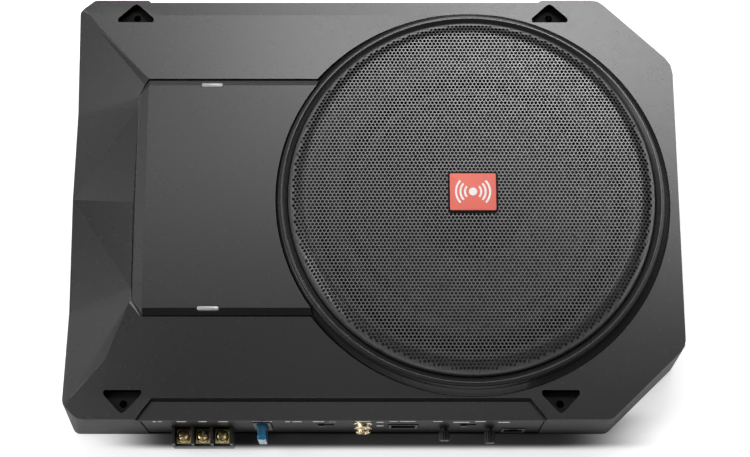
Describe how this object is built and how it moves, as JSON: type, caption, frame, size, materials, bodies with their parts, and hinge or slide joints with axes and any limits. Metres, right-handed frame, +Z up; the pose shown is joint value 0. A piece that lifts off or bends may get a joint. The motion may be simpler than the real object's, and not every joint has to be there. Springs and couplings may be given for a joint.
{
  "type": "powered under-seat car subwoofer",
  "caption": "Shallow powered car subwoofer: cast casing with a raised amplifier cover, round perforated grille over a moving woofer, and a front panel of terminals, fuse, jacks and knobs.",
  "frame": {"origin": "middle of the bounding box's underside, on the surface the feet stand on", "axes": "+X along the length towards the woofer end, +Y from the control panel to the back, +Z up through the grille"},
  "size_m": [0.3528, 0.2596, 0.0718],
  "materials": {
    "cast_shell": "satin black, fine cast texture",
    "cover": "satin black",
    "trim": "satin black, smooth",
    "panel_plastic": "fine matt moulded",
    "grille_steel": "dark grey powder coat, perforated",
    "badge": "gloss red with a dark rim",
    "lens": "clear frosted light pipe",
    "brass": "plated, polished",
    "gold_plate": "gold plated",
    "rubber": "matt",
    "cone_paper": "pressed fibre, matt black",
    "spider_cloth": "resin-doped cotton weave",
    "ferrite": "sintered, matt",
    "steel": "zinc plated",
    "aluminium": "extruded, plain",
    "board": "green solder resist",
    "component_black": "moulded black",
    "winding": "enamelled copper wire",
    "fuse_blue": "clear tinted blue",
    "white_plastic": "moulded white",
    "red_plastic": "moulded red",
    "knob": "moulded, ribbed"
  },
  "bodies": {
    "enclosure": {"top_shell": "cast_shell", "amp_cover": "cover", "power_light_lens": "lens", "protect_light_lens": "lens", "grille_trim_ring": "trim", "grille": "grille_steel", "grille_badge": "badge", "woofer_basket": "panel_plastic", "woofer_gasket": "rubber", "surround": "rubber", "spider": "spider_cloth", "magnet_top_plate": "steel", "magnet_ring": "ferrite", "magnet_yoke": "steel", "bottom_plate": "panel_plastic", "amp_board": "board", "heat_spreader": "aluminium", "output_transistor_1": "component_black", "output_transistor_2": "component_black", "power_transformer": "winding", "filter_capacitor_1": "component_black", "filter_capacitor_2": "component_black", "speaker_lead_red": "red_plastic", "speaker_lead_black": "rubber", "control_panel": "panel_plastic", "terminal_block": "component_black", "fuse_holder": "component_black", "turn_on_switch_housing": "steel", "phase_switch_housing": "steel", "rca_barrel_left": "gold_plate", "rca_insert_left": "white_plastic", "rca_barrel_right": "gold_plate", "rca_insert_right": "red_plastic", "high_level_socket": "component_black", "high_level_pins": "gold_plate", "remote_jack": "component_black", "crossover_potentiometer": "steel", "level_potentiometer": "steel", "rubber_foot_1": "rubber", "base_screw_1": "steel", "rubber_foot_2": "rubber", "base_screw_2": "steel", "rubber_foot_3": "rubber", "base_screw_3": "steel", "rubber_foot_4": "rubber", "base_screw_4": "steel"},
    "cone_assembly": {"cone": "cone_paper", "dust_cap": "cone_paper", "voice_coil": "winding"},
    "crossover_knob_body": {"crossover_knob": "knob"},
    "level_knob_body": {"level_knob": "knob"},
    "turn_on_slider": {"turn_on_switch_button": "knob"},
    "phase_slider": {"phase_switch_button": "knob"},
    "fuse": {"blade_fuse": "fuse_blue"},
    "clamp_1": {"terminal_clamp_1": "brass"},
    "screw_1": {"terminal_screw_1": "brass"},
    "clamp_2": {"terminal_clamp_2": "brass"},
    "screw_2": {"terminal_screw_2": "brass"},
    "clamp_3": {"terminal_clamp_3": "brass"},
    "screw_3": {"terminal_screw_3": "brass"}
  },
  "joints": [
    {"name": "cone_excursion", "type": "slide", "parent": "enclosure", "child": "cone_assembly", "axis": [0, 0, 1], "range_m": [-0.005, 0.005], "stiffness_N_per_m": 2500, "deforming": ["surround", "spider"]},
    {"name": "crossover_turn", "type": "hinge", "parent": "enclosure", "child": "crossover_knob_body", "pos_m": [0.0397, -0.1232, 0.02], "axis": [0, -1, 0], "range_deg": [-140, 140]},
    {"name": "level_turn", "type": "hinge", "parent": "enclosure", "child": "level_knob_body", "pos_m": [0.0656, -0.1232, 0.02], "axis": [0, -1, 0], "range_deg": [-140, 140]},
    {"name": "turn_on_slide", "type": "slide", "parent": "enclosure", "child": "turn_on_slider", "axis": [1, 0, 0], "range_m": [0, 0.0048]},
    {"name": "phase_slide", "type": "slide", "parent": "enclosure", "child": "phase_slider", "axis": [1, 0, 0], "range_m": [0, 0.0048]},
    {"name": "fuse_pull", "type": "slide", "parent": "enclosure", "child": "fuse", "axis": [0, -1, 0], "range_m": [0, 0.014]},
    {"name": "clamp_1_lift", "type": "slide", "parent": "enclosure", "child": "clamp_1", "axis": [0, 0, 1], "range_m": [0, 0.0018]},
    {"name": "screw_1_turn", "type": "hinge", "parent": "clamp_1", "child": "screw_1", "pos_m": [-0.1094, -0.1244, 0.02], "axis": [0, 0, 1], "range_deg": [0, 1080]},
    {"name": "clamp_2_lift", "type": "slide", "parent": "enclosure", "child": "clamp_2", "axis": [0, 0, 1], "range_m": [0, 0.0018]},
    {"name": "screw_2_turn", "type": "hinge", "parent": "clamp_2", "child": "screw_2", "pos_m": [-0.0984, -0.1244, 0.02], "axis": [0, 0, 1], "range_deg": [0, 1080]},
    {"name": "clamp_3_lift", "type": "slide", "parent": "enclosure", "child": "clamp_3", "axis": [0, 0, 1], "range_m": [0, 0.0018]},
    {"name": "screw_3_turn", "type": "hinge", "parent": "clamp_3", "child": "screw_3", "pos_m": [-0.0874, -0.1244, 0.02], "axis": [0, 0, 1], "range_deg": [0, 1080]}
  ],
  "couplings": [
    {"joint": "screw_1_turn", "follows": "clamp_1_lift", "rad_per_m": 10472},
    {"joint": "screw_2_turn", "follows": "clamp_2_lift", "rad_per_m": 10472},
    {"joint": "screw_3_turn", "follows": "clamp_3_lift", "rad_per_m": 10472}
  ]
}
